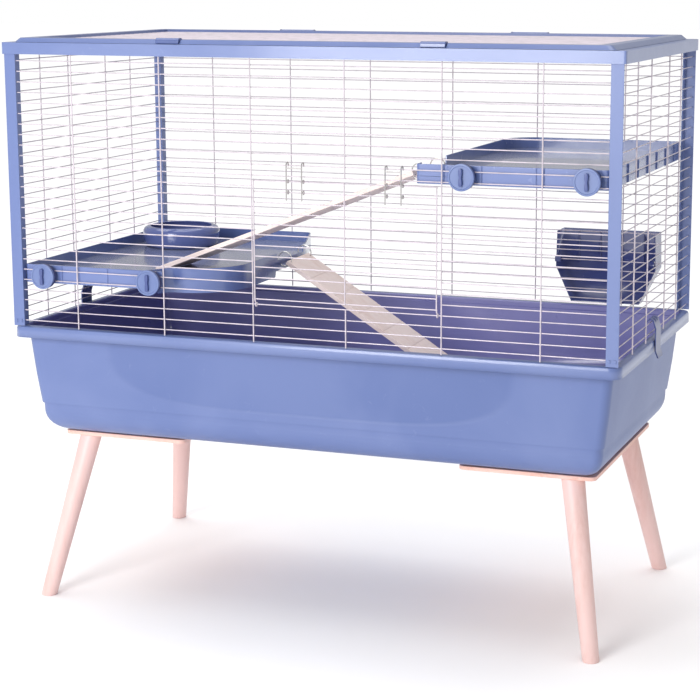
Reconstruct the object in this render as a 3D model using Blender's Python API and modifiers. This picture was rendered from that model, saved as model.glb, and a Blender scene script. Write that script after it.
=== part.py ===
"""Two-level hamster cage: plastic tub on wooden legs, wire cage with a roof lid, front door, platforms and ramps.

Everything hangs on one empty at the middle of the cage. +X is the cage's right, +Y its back, +Z up.
"""

import math

import bmesh
import bpy
from mathutils import Matrix, Vector

# Whole cage
FRAME_X, FRAME_Y = 0.500, 0.2565
FRAME_TOP, FRAME_BOTTOM = 0.9030, 0.8848
FRAME_HOLE, FRAME_LIP = (0.4600, 0.2265), 0.8920
RIM_X, RIM_Y = 0.499, 0.256
RIM_TOP, RIM_BOTTOM = 0.4523, 0.4340
GAP = 0.0003
SHELL = 0.0022

# Tub below its rim: half length, half width and height of the outside
TUB_WALL = 0.0025
TUB_NECK = (0.4868, 0.2407)
TUB_STEP = (0.4690, 0.2300)
TUB_STEP_Z = 0.3230
TUB_BELLY = (0.4672, 0.2285)
TUB_BELLY_Z = 0.3100
TUB_BASE = (0.4360, 0.1900)
TUB_BASE_Z = 0.2725
TUB_CORNER = 0.016
PAD_DROP = 0.0040

# Legs and the boards they are bolted to
BOARD_X = (0.233, 0.449)
BOARD_Y = 0.188
BOARD_THICK = 0.006
LEG_TOP = (0.410, 0.169)
LEG_FOOT = (0.460, 0.238)
LEG_TOP_R, LEG_FOOT_R = 0.018, 0.013
BOLT_R = 0.004
SCREW_SPOTS = (0.345, 0.120)

# Corner posts
POST_STRIP = 0.019
POST_WEB = 0.014
POST_THICK = 0.002
POST_X, POST_Y = 0.4965, 0.2540

# Wire grilles: every second wire of the real one, and the one that the hay rack hooks over
WIRE = 0.0020
ROW_PITCH = 0.0165
FIRST_ROW = 0.4620
ROWS = sorted({4, *range(1, 26, 2)})
WIRE_BOTTOM, WIRE_TOP = RIM_TOP + GAP, 0.8995
FRONT_UPRIGHTS = [0.1519 * (i - 2.5) for i in range(6)]
SIDE_UPRIGHTS = (-0.1530, -0.0635, 0.0635, 0.1530)
PANEL_Y = 0.2510
PANEL_X = 0.4925
PANEL_HALF = 0.4770

# Front door, in the gap between two uprights
DOOR_LEFT, DOOR_RIGHT = -0.0715, 0.2220
DOOR_TOP = 0.7020
DOOR_ROWS = 12
DOOR_Y = -0.2555
HINGE_ROW, HEAD_ROW = 3, 15
LATCH_REACH = 0.079
LATCH_HALF = 0.0130
LATCH_Z = (0.6730, 0.7295)
LATCH_Y = -0.2583

# Roof lid
LID_BASE = (0.4830, 0.2500)
LID_TOP = (0.4750, 0.2450)
LID_HOLE = (0.4550, 0.2250)
LID_Z = (FRAME_TOP + GAP, 0.9100)
LID_GRID_Z = 0.9052
LID_AXIS = (0.2530, 0.9072)
FITTING_X = 0.213
HINGE_HALF = 0.033
ROOF_LATCH_HALF = 0.0195
ROOF_LATCH_AXIS = (-0.2380, 0.9075)

# Side clips, hooked round the second wire of each side
CLIP_Y = -0.012
CLIP_HALF = 0.017
CLIP_THICK = 0.002
CLIP_R = 0.0045

# Platforms: (left, right) and the underside
TRAY_Y = 0.2475
TRAY_HIGH = 0.029
TRAY_FLOOR = 0.011
LOWER_TRAY = (-0.4765, -0.1420)
LOWER_Z = 0.5235
STEP_X, STEP_Y = (-0.2620, -0.2400), -0.2080
SLANT_X, SLANT_Y = -0.1890, 0.1120
UPPER_TRAY = (0.1860, 0.4765)
UPPER_Z = 0.7060
RAIL_DEEP = 0.0060
KNOB_R, KNOB_THICK = 0.0200, 0.0050
KNOB_Y = -0.2655
SHAFT_R = 0.0050
COLLAR_R = 0.0130
LOWER_KNOBS = (-0.436, -0.250)
UPPER_KNOBS = (0.261, 0.448)
KNOB_LIFT = 0.0128

# Ramps, each hung on two wire rings
RING_R, RING_WIRE = 0.0120, 0.0009
RING_REACH = 0.0075
LOWER_RING_Z, UPPER_RING_Z = 0.0180, 0.0140
RING_HOLE = 0.0040
RING_DIP = math.radians(8)
RING_SPACING = 0.0415
RAMP_HALF = 0.049
RAMP_THICK = 0.0070
LOWER_RAMP_END, UPPER_RAMP_END = 0.0060, 0.0105
LOWER_RAMP_Y, LOWER_SLOPE = 0.0470, math.radians(33.05)
LOWER_YAW = math.radians(2)
UPPER_RAMP_Y, UPPER_SLOPE = -0.168, math.radians(21.0)
UPPER_YAW = math.radians(8)
LOWER_RAMP_LENGTH, UPPER_RAMP_LENGTH = 0.4740, 0.5010

# Food bowl and hay rack
BOWL_AT = (-0.392, 0.139)
BOWL_HIGH = 0.036
RACK_X = 0.350
RACK_FRONT, RACK_BACK = 0.2565, 0.3030
RACK_BOTTOM, RACK_BEND, RACK_TOP = 0.4545, 0.5140, 0.5750
HOOK_ROW = 4

FRONT_LIMIT = KNOB_Y - 0.004
MIDDLE = (0, -(RACK_BACK + FRONT_LIMIT) / 2, 0)

for old in list(bpy.data.objects):
    bpy.data.objects.remove(old)
parts = bpy.data.collections.new("hamster_cage")
cutters = bpy.data.collections.new("cutters")
cutters.hide_render = True
for collection in (parts, cutters):
    bpy.context.scene.collection.children.link(collection)
cage = bpy.data.objects.new("cage_middle", None)
cage.location = MIDDLE
parts.objects.link(cage)


def finish(name, colour, roughness, metallic=0.0):
    material = bpy.data.materials.new(name)
    material.use_nodes = True
    shader = material.node_tree.nodes["Principled BSDF"]
    shader.inputs["Base Color"].default_value = (*colour, 1)
    shader.inputs["Roughness"].default_value = roughness
    shader.inputs["Metallic"].default_value = metallic
    material.diffuse_color = (*colour, 1)
    return material


blue = finish("blue_plastic", (0.125, 0.175, 0.470), 0.42)
deep_blue = finish("deep_blue_plastic", (0.060, 0.085, 0.310), 0.22)
wire = finish("coated_wire", (0.640, 0.620, 0.660), 0.35, 0.3)
steel = finish("steel", (0.560, 0.560, 0.560), 0.30, 1.0)
pink_wood = finish("pink_wood", (0.820, 0.520, 0.460), 0.50)
tan_wood = finish("ramp_wood", (0.640, 0.430, 0.330), 0.60)


def add(name, bm, material, pivot=(0, 0, 0), collection=parts):
    """Make the mesh an object whose origin is at pivot; both are in cage coordinates."""
    bmesh.ops.translate(bm, vec=-Vector(pivot), verts=bm.verts)
    mesh = bpy.data.meshes.new(name)
    bm.to_mesh(mesh)
    bm.free()
    obj = bpy.data.objects.new(name, mesh)
    obj.location = pivot
    obj.parent = cage
    obj.data.materials.append(material)
    collection.objects.link(obj)
    return obj


def round_off(obj, angle=35):
    obj.data.shade_smooth()
    obj.data.set_sharp_from_angle(angle=math.radians(angle))
    return obj


def combine(obj, bm, operation="DIFFERENCE"):
    """Cut a shape from an object, or join it on, with an exact Boolean."""
    tool = add(f"{obj.name}_tool_{len(obj.modifiers)}", bm, blue, collection=cutters)
    tool.hide_render = True
    tool.display_type = "WIRE"
    modifier = obj.modifiers.new("boolean", "BOOLEAN")
    modifier.operation = operation
    modifier.object = tool


def thicken(obj, thickness):
    modifier = obj.modifiers.new("wall", "SOLIDIFY")
    modifier.thickness = thickness
    modifier.offset = -1
    modifier.use_even_offset = True


def box(x, y, z, into=None):
    """A block from its (low, high) along each axis."""
    bm = into or bmesh.new()
    centre = Vector(((x[0] + x[1]) / 2, (y[0] + y[1]) / 2, (z[0] + z[1]) / 2))
    size = (x[1] - x[0], y[1] - y[0], z[1] - z[0])
    matrix = Matrix.Translation(centre) @ Matrix.Diagonal((*size, 1))
    bmesh.ops.create_cube(bm, size=1, matrix=matrix)
    return bm


def rod(start, end, radius, sides=12, end_radius=None):
    """A round bar or a cone between two points."""
    bm = bmesh.new()
    start, end = Vector(start), Vector(end)
    along = end - start
    turn = along.to_track_quat("Z", "Y").to_matrix().to_4x4()
    bmesh.ops.create_cone(
        bm,
        cap_ends=True,
        segments=sides,
        radius1=radius,
        radius2=radius if end_radius is None else end_radius,
        depth=along.length,
        matrix=Matrix.Translation((start + end) / 2) @ turn,
    )
    return bm


def outline(half, radii, z, centre=(0, 0), steps=4):
    """Points round a rectangle with rounded corners, from its back right corner, anticlockwise."""
    points = []
    for corner, radius in enumerate(radii):
        sx = (1, -1, -1, 1)[corner]
        sy = (1, 1, -1, -1)[corner]
        cx = centre[0] + sx * (half[0] - radius)
        cy = centre[1] + sy * (half[1] - radius)
        for step in range(steps + 1):
            angle = math.radians(90) * (corner + step / steps)
            points.append((cx + radius * math.cos(angle), cy + radius * math.sin(angle), z))
    return points


def rounded(corners, z, inset=0.0, steps=4):
    """Points round a polygon of (x, y, radius) corners, anticlockwise, with every side moved in by the inset."""
    points = []
    for i, (x, y, radius) in enumerate(corners):
        here = Vector((x, y))
        before = (here - Vector(corners[i - 1][:2])).normalized()
        after = (Vector(corners[(i + 1) % len(corners)][:2]) - here).normalized()
        turn = math.atan2(before.cross(after), before.dot(after))
        side = math.copysign(1, turn)
        inwards = Vector((-before.y - after.y, before.x + after.x)).normalized() / math.cos(turn / 2)
        bend = radius - side * inset
        centre = here + inwards * (inset + side * bend)
        for step in range(steps + 1):
            angle = math.atan2(before.y, before.x) - side * math.radians(90) + turn * step / steps
            points.append((centre.x + bend * math.cos(angle), centre.y + bend * math.sin(angle), z))
    return points


def loft(rings, caps=(False, False), closed=False):
    """A skin through rings of points that all have the same count."""
    bm = bmesh.new()
    loops = [[bm.verts.new(point) for point in ring] for ring in rings]
    pairs = list(zip(loops, loops[1:]))
    if closed:
        pairs.append((loops[-1], loops[0]))
    for low, high in pairs:
        for i in range(len(low)):
            j = (i + 1) % len(low)
            bm.faces.new((low[i], low[j], high[j], high[i]))
    if caps[0]:
        bm.faces.new(reversed(loops[0]))
    if caps[1]:
        bm.faces.new(loops[-1])
    return bm


def extrude_outline(points, along):
    """A solid from a flat outline pushed along a vector."""
    bm = bmesh.new()
    face = bm.faces.new([bm.verts.new(point) for point in points])
    pushed = bmesh.ops.extrude_face_region(bm, geom=[face])
    verts = [item for item in pushed["geom"] if isinstance(item, bmesh.types.BMVert)]
    bmesh.ops.translate(bm, vec=along, verts=verts)
    bmesh.ops.recalc_face_normals(bm, faces=bm.faces)
    return bm


def row(number):
    return FIRST_ROW + ROW_PITCH * number


def grille(columns, rows, across, up, opening=None):
    """A flat lattice of square wires in the XY plane, WIRE thick, centred on z = 0."""
    half = WIRE / 2

    def bands(wires, ends):
        edges = [ends[0]] + [c + s * half for c in wires for s in (-1, 1)] + [ends[1]]
        if edges[1] - edges[0] < half:
            edges = edges[1:]
            edges[0] = ends[0]
        if edges[-1] - edges[-2] < half:
            edges = edges[:-1]
            edges[-1] = ends[1]
        return edges

    def on_wire(value, wires):
        return any(abs(value - c) < half for c in wires)

    us, vs = bands(columns, across), bands(rows, up)
    bm = bmesh.new()
    bmesh.ops.create_grid(bm, x_segments=len(us) - 1, y_segments=len(vs) - 1, size=1)
    for vert in bm.verts:
        i = round((vert.co.x + 1) / 2 * (len(us) - 1))
        j = round((vert.co.y + 1) / 2 * (len(vs) - 1))
        vert.co = (us[i], vs[j], -half)
    holes = []
    for face in bm.faces:
        u, v, _ = face.calc_center_median()
        inside = opening and opening[0] < u < opening[1] and opening[2] < v < opening[3]
        if inside or not (on_wire(u, columns) or on_wire(v, rows)):
            holes.append(face)
    bmesh.ops.delete(bm, geom=holes, context="FACES")
    pushed = bmesh.ops.extrude_face_region(bm, geom=bm.faces[:])
    verts = [item for item in pushed["geom"] if isinstance(item, bmesh.types.BMVert)]
    bmesh.ops.translate(bm, vec=(0, 0, WIRE), verts=verts)
    bmesh.ops.recalc_face_normals(bm, faces=bm.faces)
    return bm


def stand_up(bm, turn, to):
    """Turn a flat lattice upright about Z by turn degrees and move it."""
    upright = Matrix.Rotation(math.radians(turn), 4, "Z") @ Matrix.Rotation(math.radians(90), 4, "X")
    bmesh.ops.transform(bm, matrix=Matrix.Translation(to) @ upright, verts=bm.verts)
    return bm


# Tub: one moulded shell, from the middle of its base out and up to the down-turned rim.
def build_tub():
    rings = [outline(TUB_BASE, [TUB_CORNER] * 4, TUB_BASE_Z)]
    bends = 4
    for step in range(1, bends + 1):
        angle = math.radians(90) * step / bends
        share = math.sin(angle)
        half = [base + (belly - base) * share for base, belly in zip(TUB_BASE, TUB_BELLY)]
        z = TUB_BASE_Z + (TUB_BELLY_Z - TUB_BASE_Z) * (1 - math.cos(angle))
        rings.append(outline(half, [TUB_CORNER] * 4, z))
    rings.append(outline(TUB_BELLY, [TUB_CORNER] * 4, TUB_STEP_Z - 0.001))
    rings.append(outline(TUB_STEP, [TUB_CORNER] * 4, TUB_STEP_Z))
    rings.append(outline(TUB_NECK, [TUB_CORNER] * 4, RIM_TOP - TUB_WALL))
    lip = (RIM_X - TUB_WALL, RIM_Y - TUB_WALL)
    rings.append(outline(lip, [0.006] * 4, RIM_TOP - TUB_WALL))
    rings.append(outline(lip, [0.006] * 4, RIM_BOTTOM))
    tub = add("tub", loft(rings, caps=(True, False)), blue)
    thicken(tub, TUB_WALL)
    for sx in (-1, 1):
        for sy in (-1, 1):
            x = sorted((sx * 0.310, sx * 0.425))
            y = sorted((sy * 0.090, sy * 0.183))
            combine(tub, box(x, y, (TUB_BASE_Z - PAD_DROP, TUB_BASE_Z + 0.001)), "UNION")
            spot = (sx * SCREW_SPOTS[0], sy * SCREW_SPOTS[1])
            combine(tub, rod((*spot, 0.26), (*spot, 0.28), 0.0026, 10))
    return round_off(tub)


build_tub()
BOARD_TOP = TUB_BASE_Z - PAD_DROP - GAP
BOARD_UNDER = BOARD_TOP - BOARD_THICK


def build_board(side, sign):
    middle = sign * (BOARD_X[0] + BOARD_X[1]) / 2
    half = ((BOARD_X[1] - BOARD_X[0]) / 2, BOARD_Y)
    rings = [outline(half, [0.010] * 4, z, (middle, 0)) for z in (BOARD_UNDER, BOARD_TOP)]
    board = add(f"leg_board_{side}", loft(rings, caps=(True, True)), pink_wood)
    for sy in (-1, 1):
        for spot, radius in (((sign * LEG_TOP[0], sy * LEG_TOP[1]), BOLT_R + GAP),
                             ((sign * SCREW_SPOTS[0], sy * SCREW_SPOTS[1]), 0.0016)):
            combine(board, rod((*spot, BOARD_UNDER - 0.01), (*spot, BOARD_TOP + 0.01), radius, 10))


def build_leg(name, sx, sy):
    """A turned leg, splayed out; its ends are cut level, so it is a sheared cone."""
    high = BOARD_UNDER - GAP
    bm = rod((0, 0, 0), (0, 0, high), LEG_FOOT_R, 24, LEG_TOP_R)
    lean = Matrix.Identity(4)
    lean[0][2] = sx * (LEG_TOP[0] - LEG_FOOT[0]) / high
    lean[1][2] = sy * (LEG_TOP[1] - LEG_FOOT[1]) / high
    place = Matrix.Translation((sx * LEG_FOOT[0], sy * LEG_FOOT[1], 0))
    bmesh.ops.transform(bm, matrix=place @ lean, verts=bm.verts)
    leg = add(f"leg_{name}", bm, pink_wood)
    spot = (sx * LEG_TOP[0], sy * LEG_TOP[1])
    combine(leg, rod((*spot, high - 0.021), (*spot, high + 0.01), BOLT_R + GAP, 10))
    round_off(leg)
    bolt = rod((*spot, high - 0.020), (*spot, BOARD_TOP - 0.001), BOLT_R, 10)
    round_off(add(f"leg_bolt_{name}", bolt, steel))


def build_screw(name, sx, sy):
    """A pan-head screw through the tub's floor into the board."""
    spot = (sx * SCREW_SPOTS[0], sy * SCREW_SPOTS[1])
    floor = TUB_BASE_Z + TUB_WALL + GAP
    screw = add(f"board_screw_{name}", rod((*spot, BOARD_UNDER + 0.001), (*spot, floor + 0.001), 0.0013, 8), steel)
    combine(screw, rod((*spot, floor), (*spot, floor + 0.0022), 0.0045, 12, 0.0028), "UNION")
    round_off(screw)


for side, sign in (("left", -1), ("right", 1)):
    build_board(side, sign)
CORNERS = (("front_left", -1, -1), ("front_right", 1, -1), ("back_left", -1, 1), ("back_right", 1, 1))
for name, sx, sy in CORNERS:
    build_leg(name, sx, sy)
    build_screw(name, sx, sy)


# Cage: four L-section posts between the tub's rim and the roof frame.
def build_post(name, sx, sy):
    inner = POST_X - POST_STRIP
    section = [(POST_X, POST_Y), (inner, POST_Y), (inner, POST_Y - POST_WEB),
               (inner + POST_THICK, POST_Y - POST_WEB), (inner + POST_THICK, POST_Y - POST_THICK),
               (POST_X, POST_Y - POST_THICK)]
    points = [(sx * x, sy * y, RIM_TOP + GAP) for x, y in section]
    add(f"post_{name}", extrude_outline(points, (0, 0, 0.9000 - RIM_TOP - GAP)), blue)


def build_roof_frame():
    under = FRAME_TOP - SHELL
    profile = (((FRAME_X, FRAME_Y), (FRAME_BOTTOM, FRAME_TOP)),
               (FRAME_HOLE, (FRAME_TOP, FRAME_LIP)),
               ((FRAME_HOLE[0] + SHELL, FRAME_HOLE[1] + SHELL), (FRAME_LIP, under)),
               ((FRAME_X - SHELL, FRAME_Y - SHELL), (under, FRAME_BOTTOM)))
    rings = []
    for half, heights in profile:
        radius = 0.002 if half[0] < FRAME_X else 0.002 + SHELL
        rings += [outline(half, [radius] * 4, z, steps=2) for z in heights]
    frame = add("roof_frame", loft(rings, closed=True), blue)
    for sx in (-1, 1):
        for end in (-1, 1):
            x = sorted((sx * FITTING_X + end * HINGE_HALF, sx * FITTING_X + end * (HINGE_HALF - 0.003)))
            combine(frame, box(x, (0.2504, 0.2562), (FRAME_TOP - 0.001, 0.9105)), "UNION")
            ends = [(x[0] - 0.001, *LID_AXIS), (x[1] + 0.001, *LID_AXIS)]
            combine(frame, rod(*ends, 0.0013, 8))


for name, sx, sy in CORNERS:
    build_post(name, sx, sy)
build_roof_frame()

# Wire panels. The front one leaves the doorway open.
rows = [row(number) for number in ROWS]
height = (WIRE_BOTTOM, WIRE_TOP)
doorway = (FRONT_UPRIGHTS[2] + WIRE / 2, FRONT_UPRIGHTS[4] - WIRE / 2,
           row(HINGE_ROW) + WIRE / 2, row(HEAD_ROW) - WIRE / 2)
across = (-PANEL_HALF, PANEL_HALF)
front = grille(FRONT_UPRIGHTS, rows, across, height, doorway)
add("front_panel", stand_up(front, 0, (0, -PANEL_Y, 0)), wire)
add("back_panel", stand_up(grille(FRONT_UPRIGHTS, rows, across, height), 0, (0, PANEL_Y, 0)), wire)
side_across = (-POST_Y + POST_THICK + GAP, POST_Y - POST_THICK - GAP)
for side, sign in (("left", -1), ("right", 1)):
    panel = stand_up(grille(SIDE_UPRIGHTS, rows, side_across, height), 90, (sign * PANEL_X, 0, 0))
    add(f"{side}_panel", panel, wire)


# Front door: its two long wires end in eyes round the panel's fourth wire, which is the hinge.
def build_door():
    pivot = (0, -PANEL_Y, row(HINGE_ROW))
    middle = FRONT_UPRIGHTS[3]
    door_rows = [DOOR_TOP - ROW_PITCH * i for i in range(DOOR_ROWS)]
    half = WIRE / 2
    wires = grille((DOOR_LEFT, middle, DOOR_RIGHT), door_rows[::-1], (DOOR_LEFT - half, DOOR_RIGHT + half),
                   (door_rows[-1] - half, DOOR_TOP + half))
    door = add("front_door", stand_up(wires, 0, (0, DOOR_Y, 0)), wire, pivot)
    for x in (DOOR_LEFT, DOOR_RIGHT):
        rings = []
        for radius, half in ((0.0020, 0.001), (0.0054, 0.001), (0.0054, -0.001), (0.0020, -0.001)):
            ring = [(x + half, pivot[1] + radius * math.cos(a), pivot[2] + radius * math.sin(a))
                    for a in (math.radians(36) * i for i in range(10))]
            rings.append(ring)
        eye = loft(rings, closed=True)
        bmesh.ops.recalc_face_normals(eye, faces=eye.faces)
        combine(door, eye, "UNION")
        stem = box((x - half, x + half), (DOOR_Y - half, DOOR_Y + half), (pivot[2] + 0.002, door_rows[-1]))
        combine(door, stem, "UNION")
    for side, sign in (("left", -1), ("right", 1)):
        centre = (DOOR_LEFT + DOOR_RIGHT) / 2 + sign * LATCH_REACH
        legs = (centre - LATCH_HALF, centre + LATCH_HALF)
        latch = grille(legs, (LATCH_Z[0] + 0.001, LATCH_Z[1] - 0.001), (legs[0] - 0.001, legs[1] + 0.001), LATCH_Z)
        add(f"door_latch_{side}", stand_up(latch, 0, (0, LATCH_Y, 0)), wire, (centre, LATCH_Y, DOOR_TOP))


build_door()


# Roof lid: a moulded ring with a wire grille inside it, knuckles at the back and sliding latches at the front.
def build_lid():
    pivot = (0, *LID_AXIS)
    low, high = LID_Z
    rings = [outline(LID_BASE, [0.010] * 4, low, steps=3), outline(LID_TOP, [0.008] * 4, high, steps=3),
             outline(LID_HOLE, [0.004] * 4, high, steps=3), outline(LID_HOLE, [0.004] * 4, low, steps=3)]
    lid = add("roof_lid_frame", loft(rings, closed=True), blue, pivot)
    reach = HINGE_HALF - 0.0035
    for sx in (-1, 1):
        x = sx * FITTING_X
        ends = [(x - reach, *LID_AXIS), (x + reach, *LID_AXIS)]
        combine(lid, rod(*ends, 0.0034, 12), "UNION")
        combine(lid, box((x - reach, x + reach), (0.2440, LID_AXIS[0]), (0.9052, 0.9086)), "UNION")
        combine(lid, rod((x - 0.04, *LID_AXIS), (x + 0.04, *LID_AXIS), 0.0013, 8))
        half = ROOF_LATCH_HALF + 0.0005
        combine(lid, box((x - half, x + half), (-0.2520, -0.2320), (0.9060, 0.9200)))
        pin = rod((x - HINGE_HALF, *LID_AXIS), (x + HINGE_HALF, *LID_AXIS), 0.0010, 8)
        side = "left" if sx < 0 else "right"
        round_off(add(f"roof_hinge_pin_{side}", pin, steel, (x, *LID_AXIS)))
        build_roof_latch(side, x)
    mesh_rows = [3 * ROW_PITCH * (i - 4) for i in range(9)]
    inner = (LID_HOLE[0] - GAP, LID_HOLE[1] - GAP)
    wires = grille(FRONT_UPRIGHTS, mesh_rows, (-inner[0], inner[0]), (-inner[1], inner[1]))
    bmesh.ops.translate(wires, vec=(0, 0, LID_GRID_Z), verts=wires.verts)
    add("roof_lid_grille", wires, wire, pivot)


def build_roof_latch(side, x):
    """A cap that sits in a notch of the lid's front rail, with a lip down the rail's face."""
    half = ROOF_LATCH_HALF
    section = [(-0.2525, 0.9038), (-0.2507, 0.9038), (-0.2507, 0.9064), (-0.2385, 0.9064),
               (-0.2385, 0.9112), (-0.2405, 0.9125), (-0.2495, 0.9125), (-0.2525, 0.9095)]
    points = [(x - half, y, z) for y, z in section]
    add(f"roof_latch_{side}", extrude_outline(points, (2 * half, 0, 0)), blue, (x, *ROOF_LATCH_AXIS))


build_lid()


# Side clips: a strip that curls round a wire at the top and grips outside the tub's rim.
def build_clip(side, sign):
    wire_z = row(1)
    pivot = (sign * PANEL_X, CLIP_Y, wire_z)
    outer = CLIP_R + CLIP_THICK
    section = [(0.5065 - CLIP_THICK, 0.4235), (0.5000, 0.4345), (0.5000, 0.4680)]
    turns = [math.radians(a) for a in (0, 40, 80, 120, 160)]
    section += [(PANEL_X + CLIP_R * math.cos(a), wire_z + CLIP_R * math.sin(a)) for a in turns]
    section += [(PANEL_X + outer * math.cos(a), wire_z + outer * math.sin(a)) for a in turns[::-1]]
    section += [(0.5000 + CLIP_THICK, 0.4700), (0.5000 + CLIP_THICK, 0.4352), (0.5065, 0.4235)]
    points = [(sign * x, CLIP_Y - CLIP_HALF, z) for x, z in section]
    clip = add(f"side_clip_{side}", extrude_outline(points, (0, 2 * CLIP_HALF, 0)), deep_blue, pivot)
    for offset in (-0.0065, 0.0065):
        y = CLIP_Y + offset
        slot = box(sorted((sign * 0.482, sign * 0.4985)), (y - 0.0022, y + 0.0022), (0.4700, 0.4900))
        combine(clip, slot)


for side, sign in (("left", -1), ("right", 1)):
    build_clip(side, sign)


# Platforms: a tray with a rail along its front, knobs that clamp it to the wires and a gate where the ramp hangs.
def build_platform(name, corners, base, gate_side, gate_y, knobs):
    floor, top = base + TRAY_FLOOR, base + TRAY_HIGH
    rings = [rounded(corners, floor - SHELL, SHELL), rounded(corners, base, SHELL), rounded(corners, base),
             rounded(corners, top), rounded(corners, top, SHELL), rounded(corners, floor, SHELL)]
    tray = add(f"{name}_platform", loft(rings, caps=(True, True)), blue)
    front = -TRAY_Y
    rail = (min(knobs) - 0.0270, max(knobs) + 0.0180)
    combine(tray, box(rail, (front + 0.0005, front + RAIL_DEEP), (base + 0.0005, top - 0.0005)), "UNION")
    wall = gate_side * max(gate_side * corner[0] for corner in corners)
    gate_x = sorted((wall + gate_side * 0.005, wall - gate_side * 0.0065))
    combine(tray, box(gate_x, (gate_y - 0.056, gate_y + 0.056), (base + 0.017, top + 0.01)))
    for y in (gate_y - RING_SPACING, gate_y + RING_SPACING):
        combine(tray, box(sorted((wall + gate_side * 0.005, wall - gate_side * 0.0070)),
                          (y - 0.0030, y + 0.0030), (base + 0.0020, base + 0.0145)))
    for side, x in zip(("left", "right"), knobs):
        z = base + KNOB_LIFT
        combine(tray, rod((x, front - 0.002, z), (x, front + 0.0045, z), SHAFT_R + 0.0005, 16))
        build_knob(f"{name}_{side}", x, z)


def build_knob(name, x, z):
    face = KNOB_Y + KNOB_THICK
    knob = add(f"knob_{name}", rod((x, KNOB_Y, z), (x, face, z), KNOB_R, 24), blue, (x, KNOB_Y, z))
    combine(knob, rod((x, face - 0.002, z), (x, -TRAY_Y + 0.0040, z), SHAFT_R, 16), "UNION")
    combine(knob, box((x - 0.0018, x + 0.0018), (FRONT_LIMIT, KNOB_Y + 0.001), (z - 0.013, z + 0.013)), "UNION")
    round_off(knob)
    near, far = -TRAY_Y - GAP, -PANEL_Y + WIRE / 2 + GAP
    collar = add(f"knob_collar_{name}", rod((x, near, z), (x, far, z), COLLAR_R, 20), deep_blue)
    combine(collar, rod((x, near + 0.01, z), (x, far - 0.01, z), SHAFT_R + 0.0005, 16))
    round_off(collar)


lower_corners = [
    (LOWER_TRAY[0], -TRAY_Y, 0.006), (STEP_X[0], -TRAY_Y, 0.010), (STEP_X[1], STEP_Y, 0.010),
    (LOWER_TRAY[1], STEP_Y, 0.085), (LOWER_TRAY[1], SLANT_Y, 0.020), (SLANT_X, TRAY_Y, 0.008),
    (LOWER_TRAY[0], TRAY_Y, 0.006),
]
upper_corners = [
    (UPPER_TRAY[0], -TRAY_Y, 0.006), (UPPER_TRAY[1], -TRAY_Y, 0.006), (UPPER_TRAY[1], TRAY_Y, 0.006),
    (UPPER_TRAY[0], TRAY_Y, 0.055),
]
build_platform("lower", lower_corners, LOWER_Z, 1, LOWER_RAMP_Y, LOWER_KNOBS)
build_platform("upper", upper_corners, UPPER_Z, -1, UPPER_RAMP_Y, UPPER_KNOBS)


# Ramps: a plank hung from two wire rings in the gate of its platform.
def build_ramp(name, wall, sign, hub_z, gate_y, slope, yaw, length, end):
    hub = Vector((wall + sign * RING_REACH, gate_y, hub_z))
    down = Vector((sign * math.cos(slope) * math.cos(yaw), math.cos(slope) * math.sin(yaw), -math.sin(slope)))
    hole = hub + RING_R * Vector((sign * math.cos(slope + RING_DIP), 0, -math.sin(slope + RING_DIP)))
    across = Vector((0, 0, 1)).cross(down).normalized()
    normal = down.cross(across).normalized()
    frame = Matrix((down, across, normal)).transposed().to_4x4()
    frame.translation = hole
    plank = box((-end, length - end), (-RAMP_HALF, RAMP_HALF), (-RAMP_THICK / 2, RAMP_THICK / 2))
    bmesh.ops.transform(plank, matrix=frame, verts=plank.verts)
    bmesh.ops.recalc_face_normals(plank, faces=plank.faces)
    ramp = add(f"{name}_ramp", plank, tan_wood, hub)
    for side, offset in (("front", -RING_SPACING), ("back", RING_SPACING)):
        at = hole + Vector((0, offset, 0))
        combine(ramp, rod(at - normal * 0.02, at + normal * 0.02, RING_HOLE, 12))
        ring = []
        for turn in range(14):
            angle = math.radians(360) * turn / 14
            spoke = Vector((math.cos(angle), 0, math.sin(angle)))
            middle = hub + Vector((0, offset, 0)) + RING_R * spoke
            bend = [math.radians(60) * k for k in range(6)]
            ring.append([middle + RING_WIRE * (math.cos(b) * spoke + math.sin(b) * Vector((0, 1, 0))) for b in bend])
        bm = loft(ring, closed=True)
        bmesh.ops.recalc_face_normals(bm, faces=bm.faces)
        round_off(add(f"{name}_ramp_ring_{side}", bm, steel, hub))


build_ramp("lower", LOWER_TRAY[1], 1, LOWER_Z + LOWER_RING_Z, LOWER_RAMP_Y, LOWER_SLOPE, LOWER_YAW,
           LOWER_RAMP_LENGTH, LOWER_RAMP_END)
build_ramp("upper", UPPER_TRAY[0], -1, UPPER_Z + UPPER_RING_Z, UPPER_RAMP_Y, UPPER_SLOPE, UPPER_YAW,
           UPPER_RAMP_LENGTH, UPPER_RAMP_END)


# Food bowl: a turned profile, from the inside of its base over the rim and down.
def build_bowl():
    base = LOWER_Z + TRAY_FLOOR + GAP
    profile = [(0.0, 0.0045), (0.042, 0.0045), (0.058, 0.012), (0.0625, 0.022), (0.053, 0.0335), (0.054, BOWL_HIGH),
               (0.058, 0.035), (0.068, 0.022), (0.064, 0.010), (0.052, 0.0), (0.0, 0.0)]
    bm = bmesh.new()
    verts = [bm.verts.new((r, 0, z)) for r, z in profile]
    for first, second in zip(verts, verts[1:]):
        bm.edges.new((first, second))
    bmesh.ops.spin(bm, geom=bm.verts[:] + bm.edges[:], axis=(0, 0, 1), cent=(0, 0, 0),
                   angle=math.radians(360), steps=24, use_merge=True)
    bmesh.ops.remove_doubles(bm, verts=bm.verts, dist=0.00001)
    bmesh.ops.recalc_face_normals(bm, faces=bm.faces)
    at = (*BOWL_AT, base)
    bmesh.ops.translate(bm, vec=at, verts=bm.verts)
    round_off(add("food_bowl", bm, deep_blue, at))


build_bowl()


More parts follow.
